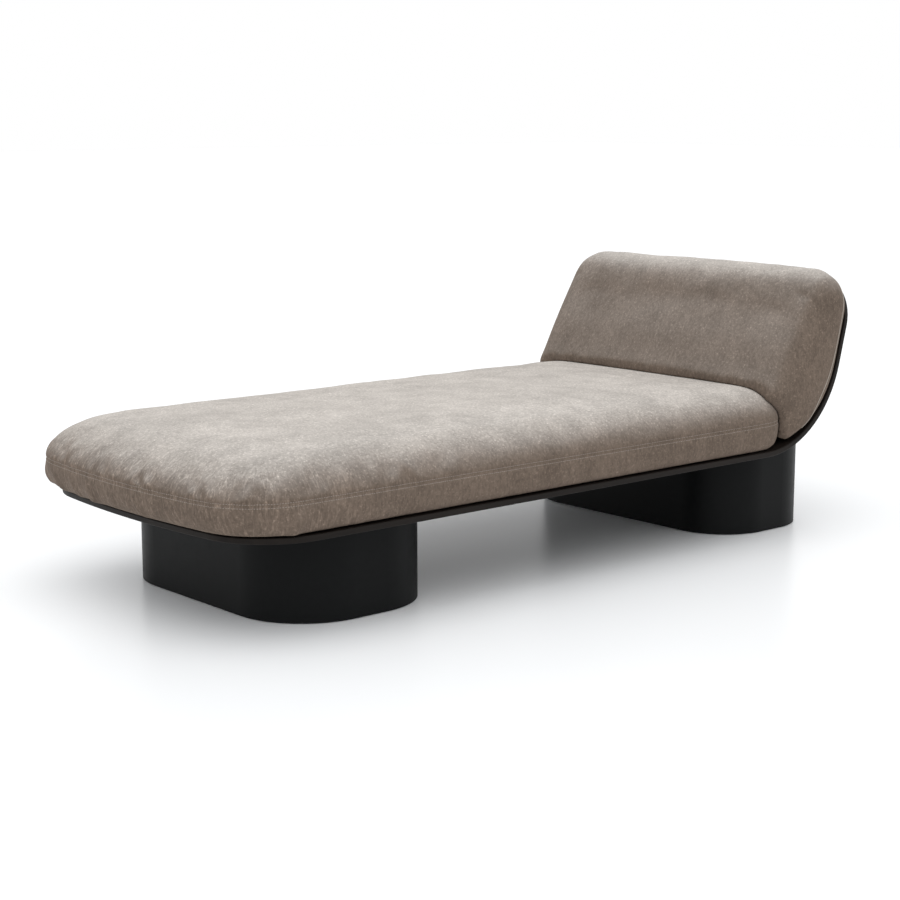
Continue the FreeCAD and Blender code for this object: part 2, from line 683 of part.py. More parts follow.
def make_drum(prefix, x, length, width, corner, bolts, scribed=False):
    wall = S.drum_wall
    gap = S.joinery_gap
    high = S.pedestal_height
    if scribed:
        high = high + S.swoop_radius
    casing = new_body(prefix + "_pedestal_casing")
    outer = new_sketch(casing, prefix + "_casing_outer", "XY_Plane", (0, 0, S.glide_stand))
    rounded_rectangle(outer, length, width, corner, x)
    pad(casing, outer, high - S.glide_stand)
    if scribed:
        waste = swoop_region(casing, prefix + "_casing_scribe", -S.scribe_gap, x - length / 2 - wall,
                             x + length / 2 + gap, high + wall)
        pocket(casing, waste, both_ways=True)
    inner = new_sketch(casing, prefix + "_casing_inner", "XY_Plane", (0, 0, S.glide_stand))
    rounded_rectangle(inner, length - wall * 2, width - wall * 2, corner - wall, x)
    pocket(casing, inner, both_ways=True)
    node(finish_body(casing))

    room_x = length - (wall + gap) * 2
    room_y = width - (wall + gap) * 2
    plate_low = S.pedestal_height - S.plate_thickness
    plate = new_body(prefix + "_top_plate")
    face = new_sketch(plate, prefix + "_plate_outline", "XY_Plane", (0, 0, plate_low))
    rounded_rectangle(face, room_x, room_y, corner - wall - gap, x)
    circles(face, bolts, S.bolt_radius + gap)
    pad(plate, face, S.plate_thickness)
    node(finish_body(plate))

    rib_height = plate_low - gap - S.rib_floor
    half_height = rib_height / 2
    slot = S.plate_thickness + gap * 2
    long_ribs = []
    for index, side in enumerate((-0.5, 0.5)):
        y = S.rib_spacing * side
        name = "%s_long_rib_%d" % (prefix, index)
        blank = box(name + "_blank", (room_x, S.plate_thickness, rib_height), x, y, S.rib_floor)
        notch = box(name + "_notch", (slot, slot * 2, half_height + gap), x, y, S.rib_floor)
        long_ribs.append(cut(name, blank, [notch]))
    node(group(prefix + "_long_ribs", long_ribs))
    blank = box(prefix + "_cross_blank", (S.plate_thickness, room_y, rib_height), x, 0,
                S.rib_floor)
    notches = []
    for index, side in enumerate((-0.5, 0.5)):
        notches.append(box("%s_cross_notch_%d" % (prefix, index),
                           (slot * 2, slot, half_height + gap), x, S.rib_spacing * side,
                           S.rib_floor + half_height))
    cross = cut(prefix + "_cross_rib", blank, notches)
    cross.Label = prefix + "_cross_rib"
    node(cross)

    block = S.glide_block_size
    reach_x = S.plate_thickness / 2 + gap + block / 2
    reach_y = width / 2 - wall - S.glide_block_setback - block / 2
    blocks = []
    glides = []
    for i in (-1, 1):
        for j in (-1, 1):
            tag = "%d%d" % (i + 1, j + 1)
            spot = (x + reach_x * i, reach_y * j)
            blocks.append(box(prefix + "_block_" + tag, (block, block, S.glide_block_height),
                              spot[0], spot[1], S.glide_thickness))
            glides.append(box(prefix + "_glide_" + tag,
                              (S.glide_size, S.glide_size, S.glide_thickness),
                              spot[0], spot[1], 0))
    node(group(prefix + "_glide_blocks", blocks))
    node(group(prefix + "_glides", glides))

    screws = []
    for index, (bolt_x, bolt_y) in enumerate(bolts):
        name = "%s_coach_screw_%d" % (prefix, index)
        head = hexagon(name + "_head", S.bolt_head_radius, S.bolt_head_height, bolt_x, bolt_y,
                       plate_low - S.bolt_head_height)
        shank = rod(name + "_shank", S.bolt_radius, S.plate_thickness + S.bolt_bite, bolt_x,
                    bolt_y, plate_low)
        screws.append(group(name, [head, shank]))
    node(group(prefix + "_coach_screws", screws))


def make_saddle():
    """A block scribed to the underside of the bend, on the head pedestal's top."""
    body = new_body("head_saddle")
    sketch = new_sketch(body, "saddle_side_view", "XZ_Plane")
    radius = S.swoop_radius + S.joinery_gap
    low = S.pedestal_height
    centre = (SWOOP_START, low + S.swoop_radius)
    left = SWOOP_START + S.saddle_start
    right = left + S.saddle_length
    rise = []
    for x in (left, right):
        reach = x.value - SWOOP_START.value
        angle = math.degrees(math.asin(reach / radius.value))
        rise.append((angle, centre[1].value - radius.value * math.cos(math.radians(angle))))
    base = line(sketch, (left.value, low.value), (right.value, low.value))
    rear = line(sketch, (right.value, low.value), (right.value, rise[1][1]))
    curve = arc(sketch, (centre[0].value, centre[1].value), radius.value,
                rise[0][0] - 90, rise[1][0] - 90)
    front = line(sketch, (left.value, rise[0][1]), (left.value, low.value))
    join(sketch, base, 2, rear, 1)
    join(sketch, rear, 2, curve, 2)
    join(sketch, curve, 1, front, 1)
    join(sketch, front, 2, base, 1)
    sketch.addConstraint(Sketcher.Constraint("Horizontal", base))
    sketch.addConstraint(Sketcher.Constraint("Vertical", rear))
    sketch.addConstraint(Sketcher.Constraint("Vertical", front))
    fix_point(sketch, base, 1, left, low)
    fix(sketch, "DistanceX", (base, 1, base, 2), S.saddle_length)
    fix_point(sketch, curve, 3, centre[0], centre[1])
    fix(sketch, "Radius", (curve,), radius)
    pad(body, sketch, S.saddle_width, both_ways=True)
    return node(finish_body(body))


# The seat cushion.

LAYER_FLOOR = SEAT_BOTTOM + S.cover_thickness + S.layer_gap * 2 + S.seat_board_thickness
DOME_TURNS = (0, 30, 58, 86)
CROWN_STEPS = ((0.45, 0.6), (1, 1))
UNDER_TURNS = (90, 45)
FLOOR_ROOM = 3


def seat_section(body, name, height, inset, foot_inset=None, head_inset=None, corners=None):
    """The cushion's plan outline, drawn in by inset, on a level."""
    foot_inset = inset if foot_inset is None else foot_inset
    head_inset = inset if head_inset is None else head_inset
    if corners is None:
        corners = (S.seat_foot_corner - inset, S.seat_head_corner - inset)
    sketch = new_sketch(body, name, "XY_Plane", (0, 0, height))
    bowed_outline(sketch, S.seat_width / 2 - inset, FOOT_END + foot_inset,
                  S.seat_head_end - head_inset, corners[0], corners[1], S.seat_end_bow)
    return sketch


def dome_sections(body, name, depth, turns=DOME_TURNS):
    """Outlines over the upper roll, depth inside the cover."""
    found = []
    for turn in turns:
        angle = dim(turn)
        inset = S.dome_reach * (1 - cosine(angle)) + depth * cosine(angle)
        height = S.seam_height + (S.dome_rise - depth) * sine(angle)
        found.append(seat_section(body, "%s_dome_%d" % (name, turn), height, inset))
    return found


def crown_sections(body, name, depth):
    """Outlines from the roll up to the flat of the crown."""
    top = S.seam_height + S.dome_rise - depth
    found = []
    for share, rise in CROWN_STEPS:
        inset = S.dome_reach + (S.crown_inset - S.dome_reach) * share
        title = "%s_crown_%d" % (name, share * 100)
        found.append(seat_section(body, title, top + S.crown_rise * rise, inset,
                                  corners=(S.crown_corner, S.crown_corner)))
    return found


def under_section(body, name, height, depth, rise, extra=0):
    """An outline of the lower roll, where rise is the cosine of its turn from level."""
    inset = S.under_reach * (1 - rise) + depth * rise + extra
    foot_inset = S.under_foot_reach * (1 - rise) + depth * rise + extra
    return seat_section(body, name, height, inset, foot_inset)


def under_sections(body, name, depth):
    """Outlines of the lower roll, from the bottom up to the seam."""
    drop = S.seam_height - SEAT_BOTTOM - depth
    found = []
    for turn in UNDER_TURNS:
        angle = dim(turn)
        height = S.seam_height - drop * sine(angle)
        title = "%s_under_%d" % (name, turn)
        found.append(under_section(body, title, height, depth, cosine(angle)))
    found.append(under_section(body, name + "_seam", S.seam_height, depth, dim(1)))
    return found


def floor_section(body, name, depth):
    """The outline of the foam where it stands on the board, depth inside the cover."""
    share = (S.seam_height - LAYER_FLOOR) / (S.seam_height - SEAT_BOTTOM - depth)
    rise = root(1 - share * share)
    return under_section(body, name + "_floor", LAYER_FLOOR, depth, rise, FLOOR_ROOM)


def flat_section(body, name, height, extra, head_inset=None):
    """The outline inside the lower roll, drawn in by a little extra."""
    inset = S.under_reach + extra
    return seat_section(body, name, height, inset, S.under_foot_reach + extra, head_inset)


def seat_underside(body, name, offset):
    """Everything below a line that follows the shell, offset above its upper face."""
    spare = 20
    return swoop_region(body, name, S.shell_thickness + offset, FOOT_END - spare,
                        S.seat_head_end + spare, S.pedestal_height)


def loft(body, name, sections, remove=False):
    kind = "PartDesign::SubtractiveLoft" if remove else "PartDesign::AdditiveLoft"
    feature = body.newObject(kind, name)
    feature.Profile = sections[0]
    feature.Sections = sections[1:]
    feature.Ruled = True
    DOC.recompute()
    return feature


def make_seat_cushion():
    none = dim(0)
    cover = S.cover_thickness
    inside = cover + S.layer_gap
    lined = cover + S.lining_gap

    body = new_body("seat_cover_top")
    name = "cover_top_out"
    loft(body, name, dome_sections(body, name, none) + crown_sections(body, name, none))
    name = "cover_top_in"
    room = dome_sections(body, name, cover) + crown_sections(body, name, cover)
    loft(body, name, room, remove=True)
    node(finish_body(body))

    body = new_body("seat_cover_border")
    loft(body, "border_out", under_sections(body, "border_out", none))
    mouth = flat_section(body, "border_mouth", SEAT_BOTTOM - cover, cover)
    floor = flat_section(body, "border_floor", SEAT_BOTTOM + cover, cover)
    rest = under_sections(body, "border_in", cover)[1:]
    loft(body, "border_in", [mouth, floor] + rest, remove=True)
    pocket(body, seat_underside(body, "border_scribe", S.strip_gap), both_ways=True)
    node(finish_body(body))

    body = new_body("seat_cover_base")
    outline = flat_section(body, "base_outline", SEAT_BOTTOM, inside)
    pad(body, outline, S.seam_height - SEAT_BOTTOM)
    above = swoop_region(body, "base_upper", S.shell_thickness + S.strip_gap + cover,
                         FOOT_END - cover, S.seat_head_end + cover, S.seam_height + cover)
    pocket(body, above, both_ways=True)
    pocket(body, seat_underside(body, "base_lower", S.strip_gap), both_ways=True)
    node(finish_body(body))

    body = new_body("seat_base_board")
    board = flat_section(body, "board_outline", SEAT_BOTTOM + inside, inside,
                         S.seat_head_end - SWOOP_START)
    pad(body, board, S.seat_board_thickness)
    node(finish_body(body))

    body = new_body("seat_foam_core")
    rings = [floor_section(body, "foam", lined)]
    loft(body, "foam", rings + dome_sections(body, "foam", lined, DOME_TURNS[:2]))
    scribe = seat_underside(body, "foam_scribe", S.strip_gap + lined)
    pocket(body, scribe, both_ways=True)
    node(finish_body(body))

    body = new_body("seat_foam_topper")
    rings = dome_sections(body, "topper", lined, DOME_TURNS[1:])
    rings[0].setExpression(".AttachmentOffset.Base.z", topper_floor(lined).text)
    loft(body, "topper", rings + crown_sections(body, "topper", lined))
    node(finish_body(body))

    thick = (S.strip_gap - S.layer_gap) / 2
    for label, bottom in (("shell_hook_strips", SHELL_TOP),
                          ("seat_loop_strips", SEAT_BOTTOM - thick)):
        strips = []
        for i in (-1, 0, 1):
            for side in (-0.5, 0.5):
                strips.append(box("%s_%d%d" % (label, i + 1, side > 0),
                                  (S.strip_length, S.strip_width, thick),
                                  S.strip_middle + S.strip_pitch_x * i,
                                  S.strip_pitch_y * side, bottom))
        node(group(label, strips))


def topper_floor(depth):
    """Level of the joint between the foam and its softer topper."""
    angle = dim(DOME_TURNS[1])
    return S.seam_height + (S.dome_rise - depth) * sine(angle) + S.layer_gap


# The back pillow.

PILLOW_STEPS = (306, 140, 70, 30, 8, 0.5)
TUCK_RISE = 3


def quarter(reach, away):
    """How far a quarter ellipse has closed, from 0 to 1, at a distance from its end."""
    if away >= reach:
        return 0.0
    share = (reach - away) / reach
    return 1 - math.sqrt(1 - share * share)


def seat_head_x(y):
    """Where the seat cushion's head end lies at y."""
    bow = S.seat_end_bow.value
    corner = S.seat_head_corner.value
    half = S.seat_width.value / 2
    middle = S.seat_head_end.value - bow
    corner_y = half - corner
    corner_x = middle + math.sqrt((bow - corner) ** 2 - corner_y ** 2)
    touch = corner_y * bow / (bow - corner)
    if abs(y) < touch:
        return middle + math.sqrt(bow ** 2 - y ** 2)
    beyond = min(abs(y) - corner_y, corner)
    return corner_x + math.sqrt(corner ** 2 - beyond ** 2)


def pillow_section(body, name, depth, away, y):
    """Side view of the pillow at y, which lies away from its fullest side."""
    lean = math.radians(S.back_lean.value)
    fan = math.radians(S.pillow_lean.value - S.back_lean.value)
    thick = S.pillow_top_thickness.value
    rear = (S.pillow_rear_depth.value - depth) * quarter(S.pillow_rear_reach.value - depth, away)
    front_reach = S.pillow_front_reach.value - depth
    front = (S.pillow_front_depth.value - depth) * quarter(front_reach, away)
    corner = S.pillow_corner.value - depth
    drop = corner * quarter(corner, away)
    crown = S.pillow_crown.value * (1 - (y / S.pillow_half_width.value) ** 2)
    skin = S.layer_gap.value + rear + depth
    bend = S.swoop_radius.value - S.shell_thickness.value - skin
    centre = (SWOOP_START.value, S.pedestal_height.value + S.swoop_radius.value)
    foot = (centre[0] + bend * math.cos(lean), centre[1] - bend * math.sin(lean))

    plane = S.swoop_radius.value - S.shell_thickness.value - S.layer_gap.value
    plane_foot = (centre[0] + plane * math.cos(lean), centre[1] - plane * math.sin(lean))
    run = (S.pillow_top_height.value - plane_foot[1]) / math.cos(lean)
    hinge_run = run + thick / math.tan(fan)
    hinge = (plane_foot[0] + hinge_run * math.sin(lean),
             plane_foot[1] + hinge_run * math.cos(lean))

    slope = lean + math.atan((thick + crown - front) / thick * math.tan(fan))
    pass_by = (hinge[0] + depth * math.cos(slope), hinge[1] - depth * math.sin(slope))
    rise = math.tan(slope)
    back_rise = math.tan(lean)
    meet_z = ((foot[0] - pass_by[0]) + rise * pass_by[1] - back_rise * foot[1])
    meet_z = meet_z / (rise - back_rise)
    meet = (foot[0] + (meet_z - foot[1]) * back_rise, meet_z)
    half = (slope - lean) / 2
    middle = lean + half
    down = (-math.sin(middle), -math.cos(middle))
    gone = (meet[0] - hinge[0]) * down[0] + (meet[1] - hinge[1]) * down[1]
    top = thick / math.tan(fan) + drop + depth - gone
    ball = top / (1 / math.sin(half) - 1)
    ball_centre = (meet[0] + (top + ball) * down[0], meet[1] + (top + ball) * down[1])
    rear_top = (ball_centre[0] + ball * math.cos(lean), ball_centre[1] - ball * math.sin(lean))
    front_top = (ball_centre[0] - ball * math.cos(slope),
                 ball_centre[1] + ball * math.sin(slope))

    belly = S.pillow_belly_radius.value + depth
    along = (math.sin(slope), math.cos(slope))
    belly_z = S.seam_height.value - S.pillow_belly_drop.value
    tucked = min(abs(y), S.pillow_tuck_end.value)
    belly_x = seat_head_x(tucked) - S.dome_reach.value + S.pillow_belly_room.value
    belly_centre = (belly_x + (abs(y) - tucked) * TUCK_RISE, belly_z)
    to_line = (front_top[0] - belly_centre[0], front_top[1] - belly_centre[1])
    cast = to_line[0] * along[0] + to_line[1] * along[1]
    short = to_line[0] ** 2 + to_line[1] ** 2 - cast ** 2
    step = -cast + math.sqrt(belly ** 2 - short)
    front_low = (front_top[0] + step * along[0], front_top[1] + step * along[1])
    span = (belly_centre[0] - centre[0], belly_centre[1] - centre[1])
    length = math.hypot(*span)
    base = (length ** 2 + bend ** 2 - belly ** 2) / (2 * length)
    tall = math.sqrt(bend ** 2 - base ** 2)
    unit = (span[0] / length, span[1] / length)
    rear_low = (centre[0] + base * unit[0] - tall * unit[1],
                centre[1] + base * unit[1] + tall * unit[0])

    sketch = new_sketch(body, name, "XZ_Plane", (0, 0, dim(-y)))
    first = math.degrees(math.atan2(rear_low[1] - centre[1], rear_low[0] - centre[0]))
    curve = arc(sketch, centre, bend, first, -S.back_lean.value)
    back = line(sketch, foot, rear_top)
    cap = arc(sketch, ball_centre, ball, -S.back_lean.value, 180 - math.degrees(slope))
    face = line(sketch, front_top, front_low)
    start = math.degrees(math.atan2(rear_low[1] - belly_centre[1], rear_low[0] - belly_centre[0]))
    stop = math.degrees(math.atan2(front_low[1] - belly_centre[1],
                                   front_low[0] - belly_centre[0]))
    hollow = arc(sketch, belly_centre, belly, start, stop)
    join_tangent(sketch, curve, back)
    join_tangent(sketch, back, cap)
    join_tangent(sketch, cap, face)
    join(sketch, face, 2, hollow, 2)
    join(sketch, hollow, 1, curve, 1)
    fix_point(sketch, curve, 3, SWOOP_START, S.pedestal_height + S.swoop_radius)
    fix(sketch, "DistanceY", (-1, 1, hollow, 3), S.seam_height - S.pillow_belly_drop)
    return sketch


def pillow_sections(body, name, depth):
    half = S.pillow_half_width.value - depth.value
    places = [(away, half - away) for away in PILLOW_STEPS]
    rows = [(away, -y) for away, y in reversed(places)] + [(half, 0.0)] + places
    return [pillow_section(body, "%s_%d" % (name, index), depth.value, away, y)
            for index, (away, y) in enumerate(rows)]


def board_size():
    """Width and slanted height of the board inside the pillow."""
    return S.back_board_width, (S.back_board_high - S.back_board_low) / cosine(S.back_lean)


def back_plate(body, name, forward, thickness):
    """The board's outline as a plate that starts forward of the shell."""
    width, tall = board_size()
    sketch = back_sketch(body, name, forward)
    rectangle(sketch, width, tall, 0, tall / 2)
    feature = pad(body, sketch, thickness)
    feature.Reversed = True
    return feature


def back_window(body, name, forward, grow, length):
    """Cut the rear opening of a layer, from forward of the shell towards the front."""
    width, tall = board_size()
    sketch = back_sketch(body, name, forward)
    rectangle(sketch, width + grow * 2, tall + grow * 2, 0, tall / 2)
    return pocket(body, sketch, length)


def make_back_pillow():
    gap = S.layer_gap
    cover = S.cover_thickness
    inside = cover + gap
    fit = S.joinery_gap

    body = new_body("back_cover")
    loft(body, "back_cover_out", pillow_sections(body, "back_out", dim(0)))
    loft(body, "back_cover_in", pillow_sections(body, "back_in", cover), remove=True)
    back_window(body, "back_cover_window", 0, gap, gap + cover * 2)
    node(finish_body(body))

    body = new_body("back_foam_core")
    loft(body, "back_foam", pillow_sections(body, "back_foam", cover + S.lining_gap))
    back_window(body, "back_foam_window", 0, gap, inside + gap * 2 + S.back_board_thickness)
    node(finish_body(body))

    body = new_body("back_cover_rear")
    back_plate(body, "rear_outline", gap, cover)
    holes = back_sketch(body, "rear_holes", 0)
    clip_outlines(holes, fit)
    pocket(body, holes, inside + gap)
    node(finish_body(body))

    body = new_body("back_board")
    back_plate(body, "back_board_outline", gap + inside, S.back_board_thickness)
    seats = back_sketch(body, "clip_seats", 0)
    clip_outlines(seats, fit)
    pocket(body, seats, gap + inside + S.clip_depth + fit)
    node(finish_body(body))

    body = new_body("back_clips")
    pins = back_sketch(body, "clip_pins", gap + inside + S.clip_depth)
    clip_outlines(pins, dim(0))
    pad(body, pins, S.clip_depth * 2 + gap + inside)
    node(finish_body(body))


def check_document():
    for item in DOC.Objects:
        for word in ("Invalid", "Error"):
            if word in item.State:
                raise RuntimeError("%s is %s" % (item.Name, item.State))
    for item in NODES:
        if item.Shape.isNull() or not item.Shape.isValid():
            raise RuntimeError(item.Label + " has no valid shape")


def write_parts():
    os.makedirs("parts", exist_ok=True)
    for item in NODES:
        item.Shape.exportStep(os.path.join("parts", item.Label + ".step"))


def main():
    make_shell()
    make_stiffeners()
    make_drum("foot", S.foot_drum_x, S.foot_drum_length, S.foot_drum_width, S.foot_drum_corner,
              foot_bolts())
    make_drum("head", S.head_drum_x, S.head_drum_length, S.head_drum_width, S.head_drum_corner,
              head_bolts(), scribed=True)
    make_saddle()
    make_seat_cushion()
    make_back_pillow()
    DOC.recompute()
    check_document()
    write_parts()


main()
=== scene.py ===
"""Dresses the chaise longue: soft cushions, stitching, finishes, studio light and camera."""
import math
import random

import bpy
import numpy as np
from mathutils import Matrix, Vector, kdtree, noise
from mathutils.bvhtree import BVHTree


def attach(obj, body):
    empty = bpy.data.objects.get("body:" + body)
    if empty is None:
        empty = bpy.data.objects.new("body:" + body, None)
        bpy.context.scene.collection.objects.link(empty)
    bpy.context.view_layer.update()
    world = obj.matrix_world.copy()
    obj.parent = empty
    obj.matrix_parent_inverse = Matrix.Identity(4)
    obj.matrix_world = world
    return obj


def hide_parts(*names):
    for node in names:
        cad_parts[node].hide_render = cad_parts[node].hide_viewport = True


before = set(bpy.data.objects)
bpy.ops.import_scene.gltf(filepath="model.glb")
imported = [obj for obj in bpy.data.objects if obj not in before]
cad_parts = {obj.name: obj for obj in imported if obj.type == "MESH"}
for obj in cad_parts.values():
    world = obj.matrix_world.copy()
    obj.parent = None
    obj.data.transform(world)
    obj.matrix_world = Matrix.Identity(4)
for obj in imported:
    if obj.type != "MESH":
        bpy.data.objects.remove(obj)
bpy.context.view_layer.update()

# Sizes in metres. They follow the solids: the same outline, levels and bend.
SEAT_HALF = 0.450
SEAT_FOOT = -1.005
SEAT_HEAD = 0.805
SEAT_BOW = 2.400
FOOT_CORNER = 0.170
HEAD_CORNER = 0.132
SEAT_BOTTOM = 0.233
SEAM_HEIGHT = 0.302
DOME_REACH = 0.115
DOME_RISE = 0.086
CROWN_RISE = 0.008
FOOT_EASE = 1.4
UNDER_REACH = 0.014
UNDER_FOOT_REACH = 0.034
BEND_START = 0.6656
BEND_RADIUS = 0.273
BEND_CENTRE_Z = 0.506
COVER_DEPTH = 0.0065
BACK_LEAN = math.radians(14.5)
PILLOW_FOOT = Vector((0.9, 0.0, 0.46))
CLOTH_VOXEL = 0.006
CLOTH_CAP = 0.022
SEAM_STEP = 0.004
UPPER_FOLDS = 46
LOWER_FOLDS = 64
FOLD_SEED = 11
STITCH_RISE = 0.0042
STITCH_PITCH = 0.0060
STITCH_LENGTH = 0.0042
STITCH_THICKNESS = 0.0010
WELT_RADIUS = 0.0014
WELT_SETBACK = 0.028


# Finishes.

def new_material(name):
    material = bpy.data.materials.new(name)
    material.use_nodes = True
    nodes = material.node_tree.nodes
    shader = next(node for node in nodes if node.type == "BSDF_PRINCIPLED")
    return material, material.node_tree, shader


def coordinates(tree, stretch):
    """Object coordinates drawn out along an axis where its factor is small."""
    source = tree.nodes.new("ShaderNodeTexCoord")
    mapping = tree.nodes.new("ShaderNodeMapping")
    mapping.inputs["Scale"].default_value = stretch
    tree.links.new(source.outputs["Object"], mapping.inputs["Vector"])
    return mapping.outputs["Vector"]


def noise_field(tree, vector, scale, detail=4.0, roughness=0.6):
    field = tree.nodes.new("ShaderNodeTexNoise")
    field.inputs["Scale"].default_value = scale
    field.inputs["Detail"].default_value = detail
    field.inputs["Roughness"].default_value = roughness
    tree.links.new(vector, field.inputs["Vector"])
    return field.outputs["Fac"]


def remap(tree, value, low, high, to_low, to_high):
    change = tree.nodes.new("ShaderNodeMapRange")
    change.inputs["From Min"].default_value = low
    change.inputs["From Max"].default_value = high
    change.inputs["To Min"].default_value = to_low
    change.inputs["To Max"].default_value = to_high
    tree.links.new(value, change.inputs["Value"])
    return change.outputs["Result"]


def product(tree, first, second):
    times = tree.nodes.new("ShaderNodeMath")
    times.operation = "MULTIPLY"
    tree.links.new(first, times.inputs[0])
    tree.links.new(second, times.inputs[1])
    return times.outputs["Value"]


def tone(tree, shader, colour, strength):
    """The base colour times a field round one."""
    scaled = tree.nodes.new("ShaderNodeVectorMath")
    scaled.operation = "SCALE"
    scaled.inputs[0].default_value = colour
    tree.links.new(strength, scaled.inputs["Scale"])
    tree.links.new(scaled.outputs["Vector"], shader.inputs["Base Color"])


def relief(tree, shader, height, distance, strength=1.0):
    bump = tree.nodes.new("ShaderNodeBump")
    bump.inputs["Strength"].default_value = strength
    bump.inputs["Distance"].default_value = distance
    tree.links.new(height, bump.inputs["Height"])
    tree.links.new(bump.outputs["Normal"], shader.inputs["Normal"])


def grained(name, colour, roughness, scale, stretch=(1, 1, 1), contrast=0.2, metallic=0.0,
            depth=0.0002, gleam=0.5):
    """A hard finish with a little grain in its tone, its gloss and its surface."""
    material, tree, shader = new_material(name)
    vector = coordinates(tree, stretch)
    grain = noise_field(tree, vector, scale)
    tone(tree, shader, colour, remap(tree, grain, 0.3, 0.7, 1 - contrast, 1 + contrast))
    gloss = remap(tree, grain, 0.3, 0.7, roughness - 0.04, roughness + 0.04)
    tree.links.new(gloss, shader.inputs["Roughness"])
    relief(tree, shader, grain, depth)
    shader.inputs["Metallic"].default_value = metallic
    shader.inputs["Specular IOR Level"].default_value = gleam
    return material


def chenille(name, side, up):
    """Pile fabric: flecked and cloudy, with painted light on upward faces, painted shade on
    the sides and painted highlights along the fold lines.
    """
    material, tree, shader = new_material(name)
    upright = coordinates(tree, (1, 1, 0.55))
    plain = coordinates(tree, (1, 1, 1))
    clouds = noise_field(tree, upright, 16, 5, 0.62)
    drifts = noise_field(tree, plain, 4.5, 3, 0.5)
    mottle = noise_field(tree, upright, 150, 4, 0.65)
    fleck = noise_field(tree, plain, 230, 2, 0.5)
    # Painted top light and side shade: the colour runs from the side colour to the up colour
    # with the height of the surface normal.
    facing = tree.nodes.new("ShaderNodeNewGeometry")
    split = tree.nodes.new("ShaderNodeSeparateXYZ")
    tree.links.new(facing.outputs["Normal"], split.inputs["Vector"])
    painted_top_light = tree.nodes.new("ShaderNodeMath")
    painted_top_light.operation = "POWER"
    tree.links.new(remap(tree, split.outputs["Z"], 0, 1, 0, 1), painted_top_light.inputs[0])
    painted_top_light.inputs[1].default_value = 2.8
    colour = tree.nodes.new("ShaderNodeMix")
    colour.data_type = "RGBA"
    colour.inputs["A"].default_value = (*side, 1)
    colour.inputs["B"].default_value = (*up, 1)
    tree.links.new(painted_top_light.outputs["Value"], colour.inputs["Factor"])

    # Thin lines along the folds: a painted highlight in the colour, and also relief in the
    # bump.
    way = tree.nodes.new("ShaderNodeAttribute")
    way.attribute_name = "fold_way"
    drawn = tree.nodes.new("ShaderNodeMapping")
    drawn.inputs["Scale"].default_value = (62, 11, 1)
    tree.links.new(way.outputs["Vector"], drawn.inputs["Vector"])
    contour = noise_field(tree, drawn.outputs["Vector"], 1.0, 2, 0.5)
    crease_line = tree.nodes.new("ShaderNodeMath")
    crease_line.operation = "COMPARE"
    crease_line.inputs[1].default_value = 0.5
    crease_line.inputs[2].default_value = 0.026
    tree.links.new(contour, crease_line.inputs[0])
    weight = tree.nodes.new("ShaderNodeAttribute")
    weight.attribute_name = "fold_weight"
    crease = product(tree, crease_line.outputs["Value"], weight.outputs["Fac"])

    shade = remap(tree, clouds, 0.32, 0.68, 0.88, 1.12)
    shade = product(tree, shade, remap(tree, drifts, 0.3, 0.7, 0.93, 1.07))
    shade = product(tree, shade, remap(tree, mottle, 0.32, 0.68, 0.80, 1.20))
    shade = product(tree, shade, remap(tree, fleck, 0.56, 0.74, 1.0, 1.55))
    # Painted highlight: up to 30% lighter along the fold lines.
    shade = product(tree, shade, remap(tree, crease, 0, 1, 1.0, 1.30))
    scaled = tree.nodes.new("ShaderNodeVectorMath")
    scaled.operation = "SCALE"
    tree.links.new(colour.outputs["Result"], scaled.inputs[0])
    tree.links.new(shade, scaled.inputs["Scale"])
    tree.links.new(scaled.outputs["Vector"], shader.inputs["Base Color"])
    rough = tree.nodes.new("ShaderNodeMath")
    rough.operation = "MULTIPLY_ADD"
    tree.links.new(crease, rough.inputs[0])
    rough.inputs[1].default_value = 0.6
    tree.links.new(mottle, rough.inputs[2])
    relief(tree, shader, rough.outputs["Value"], 0.0014, 0.7)
    shader.inputs["Roughness"].default_value = 0.92
    shader.inputs["Specular IOR Level"].default_value = 0.1
    shader.inputs["Sheen Weight"].default_value = 0.12
    shader.inputs["Sheen Roughness"].default_value = 0.4
    shader.inputs["Sheen Tint"].default_value = (0.72, 0.62, 0.54, 1)
    return material


# Painted light: the first colour is the painted shade of the sides, the second the painted
# highlight of upward faces.
FABRIC = chenille("taupe_chenille", (0.134, 0.102, 0.080), (0.455, 0.420, 0.385))
THREAD = grained("topstitch_thread", (0.330, 0.285, 0.245), 0.8, 900, contrast=0.15)
SHELL_STAIN = grained("shell_stain", (0.011, 0.0082, 0.0065), 0.5, 26, (0.12, 1, 1), 0.35,
                      depth=0.0001, gleam=0.13)
LACQUER = grained("pedestal_lacquer", (0.0042, 0.0046, 0.0048), 0.46, 60, contrast=0.18,
                  depth=0.00005, gleam=0.10)
BOARD = grained("bare_plywood", (0.55, 0.41, 0.27), 0.6, 30, (0.1, 1, 3), 0.22)
FOAM = grained("seating_foam", (0.82, 0.76, 0.60), 0.95, 500, contrast=0.12, depth=0.0008)
ZINC = grained("zinc_plate", (0.55, 0.55, 0.53), 0.38, 90, contrast=0.12, metallic=1.0)
FELT = grained("pressed_felt", (0.05, 0.05, 0.05), 0.95, 700, contrast=0.3, depth=0.0006)
NYLON = grained("black_nylon", (0.02, 0.02, 0.02), 0.7, 800, contrast=0.3, depth=0.0005)

NODE_FINISH = {
    "shell": SHELL_STAIN, "pedestal_casing": LACQUER, "board": BOARD, "plate": BOARD,
    "rib": BOARD, "block": BOARD, "saddle": BOARD, "glides": FELT, "bars": ZINC,
    "screws": ZINC, "strips": NYLON, "clips": NYLON, "foam": FOAM, "cover": FABRIC,
}
FINISH_ORDER = ("strips", "bars", "screws", "glides", "block", "clips", "foam", "cover",
                "pedestal_casing", "board", "plate", "rib", "saddle", "shell")


